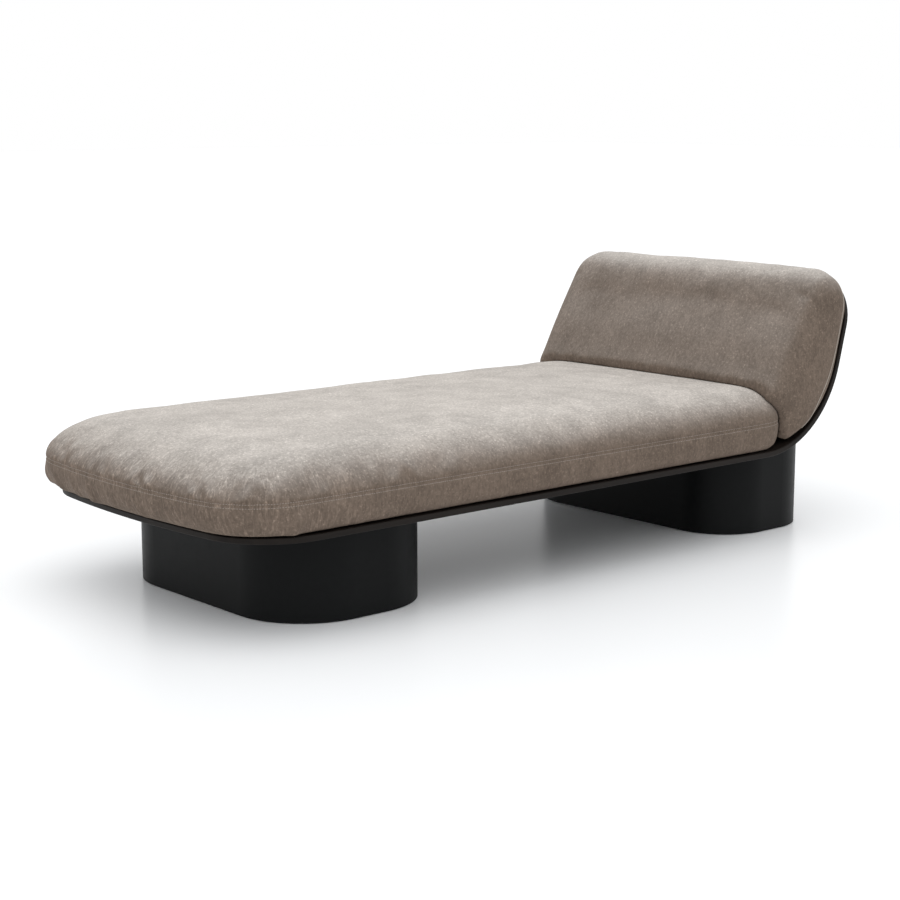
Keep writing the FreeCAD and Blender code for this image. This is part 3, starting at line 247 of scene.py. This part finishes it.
def paint(obj, material):
    obj.data.materials.clear()
    obj.data.materials.append(material)


for name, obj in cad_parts.items():
    word = next(word for word in FINISH_ORDER if word in name)
    paint(obj, NODE_FINISH[word])


# Soft forms.

def outline(inset, foot_inset, head_inset, corner_foot, corner_head, count=120):
    """One half of the seat's plan, from the foot's middle round to the head's middle."""
    half = SEAT_HALF - inset
    foot = SEAT_FOOT + foot_inset
    head = SEAT_HEAD - head_inset

    def end(x, corner, sign):
        """Bowed end and its corner, from the middle out to the long side."""
        centre = x - sign * SEAT_BOW
        corner_y = half - corner
        corner_x = centre + sign * math.sqrt((SEAT_BOW - corner) ** 2 - corner_y ** 2)
        turn = math.asin(corner_y / (SEAT_BOW - corner))
        bow = [(centre + sign * SEAT_BOW * math.cos(turn * i / 10),
                SEAT_BOW * math.sin(turn * i / 10)) for i in range(10)]
        bend = []
        for i in range(13):
            angle = turn + (math.pi / 2 - turn) * i / 12
            bend.append((corner_x + sign * corner * math.cos(angle),
                         corner_y + corner * math.sin(angle)))
        return bow + bend

    points = end(foot, corner_foot, -1) + end(head, corner_head, 1)[::-1]
    along = np.array(points)
    gone = np.concatenate([[0], np.cumsum(np.hypot(*np.diff(along, axis=0).T))])
    wanted = np.linspace(0, gone[-1], count)
    return np.stack([np.interp(wanted, gone, along[:, k]) for k in (0, 1)], axis=1)


def full_ring(half):
    """Both halves as one closed ring."""
    other = half[1:-1][::-1] * (1, -1)
    return np.concatenate([half, other])


def underside(x):
    """Height of the seat cushion's bottom, which follows the shell's bend."""
    over = np.clip(x - BEND_START, 0, BEND_RADIUS * 0.99)
    return np.maximum(SEAT_BOTTOM, BEND_CENTRE_Z - np.sqrt(BEND_RADIUS ** 2 - over ** 2))


def seat_ring(inset, foot_inset=None, head_inset=None, corner=None):
    foot_inset = inset if foot_inset is None else foot_inset
    head_inset = inset if head_inset is None else head_inset
    corners = (FOOT_CORNER - inset, HEAD_CORNER - inset)
    if corner is not None:
        corners = (corner, corner)
    return full_ring(outline(inset, foot_inset, head_inset, *corners))


def seat_rings():
    """Closed rings from the middle of the bottom, up the border, to the crown."""
    rings = []

    def low(ring, share):
        floor = underside(ring[:, 0])
        top = np.maximum(SEAM_HEIGHT, floor + 0.012)
        rings.append(np.column_stack([ring, floor + (top - floor) * share]))

    for inset in (0.43, 0.30, 0.16, 0.06):
        low(seat_ring(inset, corner=min(0.12, SEAT_HALF - inset - 0.005)), 0)
    for turn in (88, 70, 50, 30, 12, 0):
        sine = math.sin(math.radians(turn))
        cosine = math.cos(math.radians(turn))
        side = UNDER_REACH * (1 - cosine)
        low(seat_ring(side, UNDER_FOOT_REACH * (1 - cosine), side), 1 - sine)
    for turn in (8, 18, 28, 38, 48, 58, 68, 78, 88):
        angle = math.radians(turn)
        inset = DOME_REACH * (1 - math.cos(angle))
        ring = seat_ring(inset, inset * FOOT_EASE)
        height = np.full(len(ring), SEAM_HEIGHT + DOME_RISE * math.sin(angle))
        rings.append(np.column_stack([ring, height]))
    for inset in (0.16, 0.22, 0.29, 0.36, 0.43):
        share = min(1.0, (inset - DOME_REACH) / 0.17)
        ring = seat_ring(inset, inset + DOME_REACH * (FOOT_EASE - 1),
                         corner=min(0.10, SEAT_HALF - inset - 0.005))
        height = SEAM_HEIGHT + DOME_RISE + CROWN_RISE * math.sin(share * math.pi / 2)
        rings.append(np.column_stack([ring, np.full(len(ring), height)]))
    return rings


def mesh_object(name, vertices, faces):
    mesh = bpy.data.meshes.new(name)
    mesh.from_pydata([tuple(v) for v in vertices], [], faces)
    mesh.update()
    obj = bpy.data.objects.new(name, mesh)
    bpy.context.scene.collection.objects.link(obj)
    return obj


def skin_rings(name, rings):
    count = len(rings[0])
    faces = []
    for level in range(len(rings) - 1):
        for i in range(count):
            j = (i + 1) % count
            a, b = level * count + i, level * count + j
            faces.append((a, b, b + count, a + count))
    faces.append(tuple(range(count))[::-1])
    last = (len(rings) - 1) * count
    faces.append(tuple(range(last, last + count)))
    return mesh_object(name, np.concatenate(rings), faces)


def apply_modifiers(obj):
    """Replaces the mesh with the one its modifiers make."""
    graph = bpy.context.evaluated_depsgraph_get()
    made = bpy.data.meshes.new_from_object(obj.evaluated_get(graph))
    obj.modifiers.clear()
    old = obj.data
    obj.data = made
    bpy.data.meshes.remove(old)


def remesh(obj, voxel, smoothing):
    change = obj.modifiers.new("voxels", "REMESH")
    change.mode = "VOXEL"
    change.voxel_size = voxel
    ease = obj.modifiers.new("ease", "SMOOTH")
    ease.iterations = smoothing
    apply_modifiers(obj)


def vertices_of(obj):
    found = np.empty(len(obj.data.vertices) * 3)
    obj.data.vertices.foreach_get("co", found)
    return found.reshape(-1, 3)


def normals_of(obj):
    found = np.empty(len(obj.data.vertices) * 3)
    obj.data.vertices.foreach_get("normal", found)
    return found.reshape(-1, 3)


def move_vertices(obj, places):
    obj.data.vertices.foreach_set("co", places.ravel())
    obj.data.update()


def smoothstep(low, high, value):
    share = np.clip((value - low) / (high - low), 0, 1)
    return share * share * (3 - 2 * share)


def relax_as_cloth(obj, hold, freedom):
    """Lets the cover settle under its filling's pressure; freedom scales how far it may go."""
    start = vertices_of(obj)
    group = obj.vertex_groups.new(name="held")
    levels = np.round(hold, 2)
    for level in np.unique(levels):
        picked = np.flatnonzero(levels == level).tolist()
        group.add(picked, float(level), "REPLACE")
    change = obj.modifiers.new("cloth", "CLOTH")
    settings = change.settings
    settings.quality = 3
    settings.mass = 0.4
    settings.tension_stiffness = 25
    settings.compression_stiffness = 25
    settings.shear_stiffness = 12
    settings.bending_stiffness = 0.6
    settings.use_pressure = True
    settings.uniform_pressure_force = 4
    settings.vertex_group_mass = "held"
    settings.pin_stiffness = 1.0
    settings.effector_weights.gravity = 0
    change.collision_settings.use_collision = False
    change.collision_settings.use_self_collision = False
    change.point_cache.frame_start = 1
    change.point_cache.frame_end = 20
    for step in range(1, 21):
        bpy.context.scene.frame_set(step)
    apply_modifiers(obj)
    obj.vertex_groups.clear()
    bpy.context.scene.frame_set(1)
    gone = vertices_of(obj) - start
    length = np.linalg.norm(gone, axis=1, keepdims=True)
    limit = CLOTH_CAP * freedom[:, None]
    move_vertices(obj, start + gone * np.minimum(1, limit / np.maximum(length, 1e-9)))
    ease = obj.modifiers.new("ease", "SMOOTH")
    ease.iterations = 8
    apply_modifiers(obj)


def noise_at(places, scale, seed):
    shift = Vector((seed * 7.3, seed * 3.1, seed * 1.7))
    return np.array([noise.noise(Vector(p) * scale + shift) for p in places])


def make_seat():
    """The loose seat cushion as one soft cover, with its seam and its folds."""
    obj = skin_rings("seat_cushion_soft", seat_rings())
    remesh(obj, CLOTH_VOXEL, 8)
    places = vertices_of(obj)
    near_seam = np.exp(-((places[:, 2] - SEAM_HEIGHT) / 0.008) ** 2)
    low = 1 - smoothstep(0.240, 0.285, places[:, 2])
    under_pillow = smoothstep(0.52, 0.64, places[:, 0])
    hold = np.clip(0.10 + near_seam * 0.8 + low + under_pillow, 0, 1)
    toward_foot = 1 - smoothstep(-0.9, -0.2, places[:, 0])
    freedom = (1 - under_pillow) * (1 - low) * (0.15 + 0.15 * toward_foot)
    relax_as_cloth(obj, hold, freedom)
    add_seat_folds(obj)
    return obj


def dense_seam(step):
    """Evenly spaced places along the seam, with the way along and the way out at each."""
    plan = seat_ring(0.0)
    ring = np.column_stack([plan, np.full(len(plan), SEAM_HEIGHT)])
    closed = np.vstack([ring, ring[:1]])
    gone = np.concatenate([[0], np.cumsum(np.linalg.norm(np.diff(closed, axis=0), axis=1))])
    count = int(gone[-1] / step)
    wanted = np.arange(count) * gone[-1] / count
    spots = np.stack([np.interp(wanted, gone, closed[:, k]) for k in range(3)], axis=1)
    ahead = np.roll(spots, -1, axis=0) - np.roll(spots, 1, axis=0)
    ahead /= np.linalg.norm(ahead, axis=1, keepdims=True)
    out = np.column_stack([ahead[:, 1], -ahead[:, 0], np.zeros(count)])
    if np.sum(out[:, 0] * spots[:, 0]) < 0:
        out = -out
    return spots, ahead, out, gone[-1]


def along_from(fold_start, along, slant, travel, total):
    """Distance along the seam from a fold that starts on it and slants as it runs out."""
    return (along - fold_start - slant * travel + total / 2) % total - total / 2


def upper_folds(luck, along, travel, total):
    """Creases that fan out from the seam over the upper roll, gathered round the foot."""
    height = np.zeros(len(along))
    for _ in range(UPPER_FOLDS):
        start = luck.uniform(-0.86, 0.86)
        start = (start * abs(start) ** 0.25 * 1.15) % total
        slant = luck.uniform(-0.55, 0.55)
        width = luck.uniform(0.007, 0.015)
        reach = luck.uniform(0.035, 0.105)
        depth = luck.uniform(0.0012, 0.0034)
        offset = along_from(start, along, slant, travel, total)
        spread = width * (1 + travel / 0.05)
        ridge = np.exp(-(offset / spread) ** 2)
        valley = np.exp(-((offset - spread * 1.6) / spread) ** 2)
        fade = smoothstep(0.0, 0.012, travel) * (1 - smoothstep(reach * 0.4, reach, travel))
        height += depth * (ridge - 0.6 * valley) * fade
    return height


def lower_folds(luck, along, travel, total):
    """Soft flares that open from the seam down over the border."""
    height = np.zeros(len(along))
    for _ in range(LOWER_FOLDS):
        start = luck.uniform(-1.5, 1.5) % total
        slant = luck.uniform(-0.5, 0.5)
        width = luck.uniform(0.010, 0.022)
        depth = luck.uniform(0.0015, 0.0050)
        offset = along_from(start, along, slant, travel, total)
        height += depth * np.exp(-(offset / width) ** 2) * smoothstep(0.004, 0.045, travel)
    return height


def add_seat_folds(obj):
    """Folds that fan out from the seam, most of them round the foot end."""
    spots, _, _, total = dense_seam(SEAM_STEP)
    tree = kdtree.KDTree(len(spots))
    for index, spot in enumerate(spots):
        tree.insert(Vector((spot[0], spot[1], 0)), index)
    tree.balance()
    places = vertices_of(obj)
    normals = normals_of(obj)
    nearest = np.array([tree.find(Vector((p[0], p[1], 0)))[1] for p in places])
    along = nearest * total / len(spots)
    rise = places[:, 2] - SEAM_HEIGHT
    inward = np.linalg.norm(places[:, :2] - spots[nearest][:, :2], axis=1)
    travel = np.where(rise > 0, np.hypot(inward, rise), -rise)
    foot = 1 - smoothstep(-0.95, -0.35, places[:, 0])

    luck = random.Random(FOLD_SEED)
    upper = upper_folds(luck, along, travel, total)
    lower = lower_folds(luck, along, travel, total) * (0.35 + 0.65 * foot)
    height = np.where(rise > 0, upper, 0) + np.where(rise < 0, lower, 0)
    border = 1 - smoothstep(0.10, 0.16, inward)
    height *= border
    soft = noise_at(places, 9.0, 1) * 0.0020 + noise_at(places, 26.0, 2) * 0.0007
    free = 1 - smoothstep(0.60, 0.70, places[:, 0])
    top = smoothstep(0.01, 0.05, rise)
    height = height * (0.25 + 0.75 * free) + soft * top * free
    bottom = smoothstep(SEAT_BOTTOM - 0.001, SEAT_BOTTOM + 0.012, places[:, 2])
    groove = 0.0030 * np.exp(-(rise / 0.0045) ** 2)
    move_vertices(obj, places + normals * ((height * bottom) - groove)[:, None])

    way = np.column_stack([(along + total / 2) % total, travel, np.zeros(len(places))])
    obj.data.attributes.new("fold_way", "FLOAT_VECTOR", "POINT").data.foreach_set(
        "vector", way.ravel())
    reach = np.where(rise > 0, 0.045 + 0.075 * foot, 0.5)
    weight = (1 - smoothstep(reach * 0.35, reach, travel)) * (0.12 + 0.88 * foot) * border
    obj.data.attributes.new("fold_weight", "FLOAT", "POINT").data.foreach_set("value", weight)


def make_pillow(seat):
    """The leaning back pillow, drawn over its foam core and filled out."""
    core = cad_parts["back_foam_core"]
    mesh = core.data.copy()
    mesh.transform(core.matrix_world)
    obj = bpy.data.objects.new("back_pillow_soft", mesh)
    bpy.context.scene.collection.objects.link(obj)
    remesh(obj, CLOTH_VOXEL, 26)
    move_vertices(obj, vertices_of(obj) + normals_of(obj) * COVER_DEPTH)
    places = vertices_of(obj)
    normals = normals_of(obj)
    leaning = np.array([math.cos(BACK_LEAN), 0, -math.sin(BACK_LEAN)])
    rear = smoothstep(0.2, 0.7, normals @ leaning)
    below = 1 - smoothstep(0.38, 0.64, places[:, 2])
    hold = np.clip(0.06 + rear + below, 0, 1)
    freedom = (1 - rear) * (1 - below) * 0.3
    relax_as_cloth(obj, hold, freedom)
    places = vertices_of(obj)
    normals = normals_of(obj)
    soft = noise_at(places, 7.0, 5) * 0.0035 + noise_at(places, 22.0, 6) * 0.0009
    move_vertices(obj, places + normals * (soft * (1 - rear) * (1 - below))[:, None])
    tuck_corners(obj)
    settle_on(obj, seat)
    return obj


def tuck_corners(obj):
    """Slides the pillow's lower corners along the shell's bend, down towards the seat."""
    places = vertices_of(obj)
    amount = 1 - smoothstep(0.27, 0.42, places[:, 2])
    amount *= smoothstep(0.36, 0.44, np.abs(places[:, 1]))
    turn = -math.radians(4.0) * amount
    across = places[:, 0] - BEND_START
    up = places[:, 2] - BEND_CENTRE_Z
    places[:, 0] = BEND_START + across * np.cos(turn) - up * np.sin(turn)
    places[:, 2] = BEND_CENTRE_Z + across * np.sin(turn) + up * np.cos(turn)
    move_vertices(obj, places)


def settle_on(obj, other, gap=0.0015, reach=0.034, sag=0.009):
    """Lets the pillow sag until its hollow lies on the seat cushion."""
    places = vertices_of(obj)
    normals = normals_of(obj)
    tree = surface_of(other)
    low = 1 - smoothstep(0.42, 0.52, places[:, 2])
    front = 1 - smoothstep(0.70, 0.78, places[:, 0])
    places[:, 2] -= sag * low * front
    for index in np.flatnonzero(places[:, 2] < 0.47):
        place = Vector(places[index])
        spot, normal, _, apart = tree.find_nearest(place)
        height = (place - spot).dot(normal)
        if height < gap:
            places[index] = spot + normal * gap
        elif apart < reach and Vector(normals[index]).dot(normal) < -0.25:
            share = 1 - (apart / reach) ** 3
            places[index] = place - normal * (height - gap) * share
    move_vertices(obj, places)


def smooth_shaded(obj, levels=1):
    obj.data.shade_smooth()
    if levels:
        finer = obj.modifiers.new("finer", "SUBSURF")
        finer.levels = levels
        finer.render_levels = levels


def surface_of(obj):
    graph = bpy.context.evaluated_depsgraph_get()
    return BVHTree.FromObject(obj, graph)


def stitch_row(cover, rise, vertices, faces):
    """Stitches laid on the cover at a height from the seam."""
    spots, ahead, out, _ = dense_seam(STITCH_PITCH)
    for spot, way, side in zip(spots, ahead, out):
        origin = Vector(spot) + Vector((0, 0, rise)) + Vector(side) * 0.03
        hit, normal, _, _ = cover.ray_cast(origin, -Vector(side), 0.09)
        if hit is None:
            continue
        way = Vector(way)
        across = normal.cross(way).normalized() * STITCH_THICKNESS / 2
        lift = normal * STITCH_THICKNESS / 2
        base = len(vertices)
        for share, grow in ((-0.5, 0.35), (-0.2, 1.0), (0.2, 1.0), (0.5, 0.35)):
            middle = hit + way * STITCH_LENGTH * share + lift * (grow - 0.4)
            vertices += [middle + across * grow, middle + lift * grow,
                         middle - across * grow, middle - lift]
        for part in range(3):
            a = base + part * 4
            for i in range(4):
                j = (i + 1) % 4
                faces.append((a + i, a + j, a + j + 4, a + i + 4))
        faces.append((base + 3, base + 2, base + 1, base))
        faces.append((base + 12, base + 13, base + 14, base + 15))


def make_seat_stitches(cover_object):
    cover = surface_of(cover_object)
    vertices, faces = [], []
    for rise in (-STITCH_RISE, STITCH_RISE):
        stitch_row(cover, rise, vertices, faces)
    return mesh_object("seat_topstitching", vertices, faces)


def pillow_edge(obj):
    """The pillow's outline seen square to the back, from one low corner over the top."""
    places = vertices_of(obj)
    up = np.array([math.sin(BACK_LEAN), 0, math.cos(BACK_LEAN)])
    middle = np.array(PILLOW_FOOT)
    flat = np.column_stack([places[:, 1], (places - middle) @ up])
    angle = np.degrees(np.arctan2(flat[:, 1], flat[:, 0]))
    radius = np.hypot(*flat.T)
    found = []
    for step in np.arange(-24, 205, 1.0):
        apart = np.abs((angle - step + 180) % 360 - 180)
        near = np.flatnonzero(apart < 1.0)
        if len(near):
            found.append(places[near[np.argmax(radius[near])]])
    rearward = np.array([math.cos(BACK_LEAN), 0, -math.sin(BACK_LEAN)])
    found = np.array(found) + rearward * WELT_SETBACK
    for _ in range(30):
        found[1:-1] = (found[:-2] + found[1:-1] * 2 + found[2:]) / 4
    return found


def make_pillow_seam(obj):
    """A slim welt sewn round the pillow's edge."""
    path = pillow_edge(obj)
    curve = bpy.data.curves.new("pillow_edge_welt", "CURVE")
    curve.dimensions = "3D"
    curve.bevel_depth = WELT_RADIUS
    curve.bevel_resolution = 3
    spline = curve.splines.new("POLY")
    spline.points.add(len(path) - 1)
    cover = surface_of(obj)
    for point, place in zip(spline.points, path):
        hit = cover.find_nearest(Vector(place))[0]
        point.co = (*hit, 1)
    welt = bpy.data.objects.new("pillow_edge_welt", curve)
    bpy.context.scene.collection.objects.link(welt)
    return welt


seat = make_seat()
smooth_shaded(seat)
paint(seat, FABRIC)
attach(seat, "seat_cushion")
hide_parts("seat_cover_top", "seat_cover_border", "seat_cover_base",
            "seat_foam_core", "seat_foam_topper")

stitches = make_seat_stitches(seat)
paint(stitches, THREAD)
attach(stitches, "seat_cushion")

pillow = make_pillow(seat)
smooth_shaded(pillow)
paint(pillow, FABRIC)
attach(pillow, "frame")
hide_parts("back_cover", "back_cover_rear", "back_foam_core")

welt = make_pillow_seam(pillow)
welt.data.materials.append(THREAD)
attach(welt, "frame")

for name in ("foot_pedestal_casing", "head_pedestal_casing"):
    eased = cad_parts[name].modifiers.new("eased_edges", "BEVEL")
    eased.width = 0.0012
    eased.segments = 2
    eased.limit_method = "ANGLE"
    eased.angle_limit = math.radians(50)


# Studio.

def make_floor():
    half = 40
    floor = mesh_object("floor", [(-half, -half, 0), (half, -half, 0), (half, half, 0),
                                  (-half, half, 0)], [(0, 1, 2, 3)])
    material, tree, shader = new_material("pale_floor")
    shader.inputs["Base Color"].default_value = (0.93, 0.93, 0.93, 1)
    shader.inputs["Roughness"].default_value = 0.30
    shader.inputs["Specular IOR Level"].default_value = 0.25
    paint(floor, material)


def make_light():
    sun_data = bpy.data.lights.new("softbox", "SUN")
    sun_data.energy = 1.15
    sun_data.angle = math.radians(80)
    sun = bpy.data.objects.new("softbox", sun_data)
    sun.rotation_euler = (math.radians(16), math.radians(-12), 0)
    bpy.context.scene.collection.objects.link(sun)


def make_sky():
    """White where the camera or a gloss looks at it, dimmer as a light."""
    world = bpy.data.worlds.new("studio")
    world.use_nodes = True
    tree = world.node_tree
    tree.nodes.clear()
    output = tree.nodes.new("ShaderNodeOutputWorld")
    blend = tree.nodes.new("ShaderNodeMixShader")
    path = tree.nodes.new("ShaderNodeLightPath")
    either = tree.nodes.new("ShaderNodeMath")
    either.operation = "MAXIMUM"
    tree.links.new(path.outputs["Is Camera Ray"], either.inputs[0])
    tree.links.new(path.outputs["Is Glossy Ray"], either.inputs[1])
    dim = tree.nodes.new("ShaderNodeBackground")
    dim.inputs["Color"].default_value = (0.96, 0.98, 1.0, 1)
    dim.inputs["Strength"].default_value = 0.95
    bright = tree.nodes.new("ShaderNodeBackground")
    bright.inputs["Color"].default_value = (1, 1, 1, 1)
    bright.inputs["Strength"].default_value = 1.0
    tree.links.new(either.outputs["Value"], blend.inputs["Fac"])
    tree.links.new(dim.outputs["Background"], blend.inputs[1])
    tree.links.new(bright.outputs["Background"], blend.inputs[2])
    tree.links.new(blend.outputs["Shader"], output.inputs["Surface"])
    bpy.context.scene.world = world


def make_camera():
    forward = Vector((0.6435, 0.7442, -0.1793)).normalized()
    right = Vector((0.7565, -0.6541, 0.0)).normalized()
    up = right.cross(forward)
    data = bpy.data.cameras.new("camera")
    data.lens = 75.0
    data.sensor_width = 36.0
    data.clip_end = 200
    camera = bpy.data.objects.new("camera", data)
    turn = Matrix((right, up, -forward)).transposed().to_4x4()
    camera.matrix_world = Matrix.Translation((-3.0583, -3.4979, 1.1006)) @ turn
    bpy.context.scene.collection.objects.link(camera)
    bpy.context.scene.camera = camera


make_floor()
make_light()
make_sky()
make_camera()
bpy.context.scene.view_settings.view_transform = "Standard"
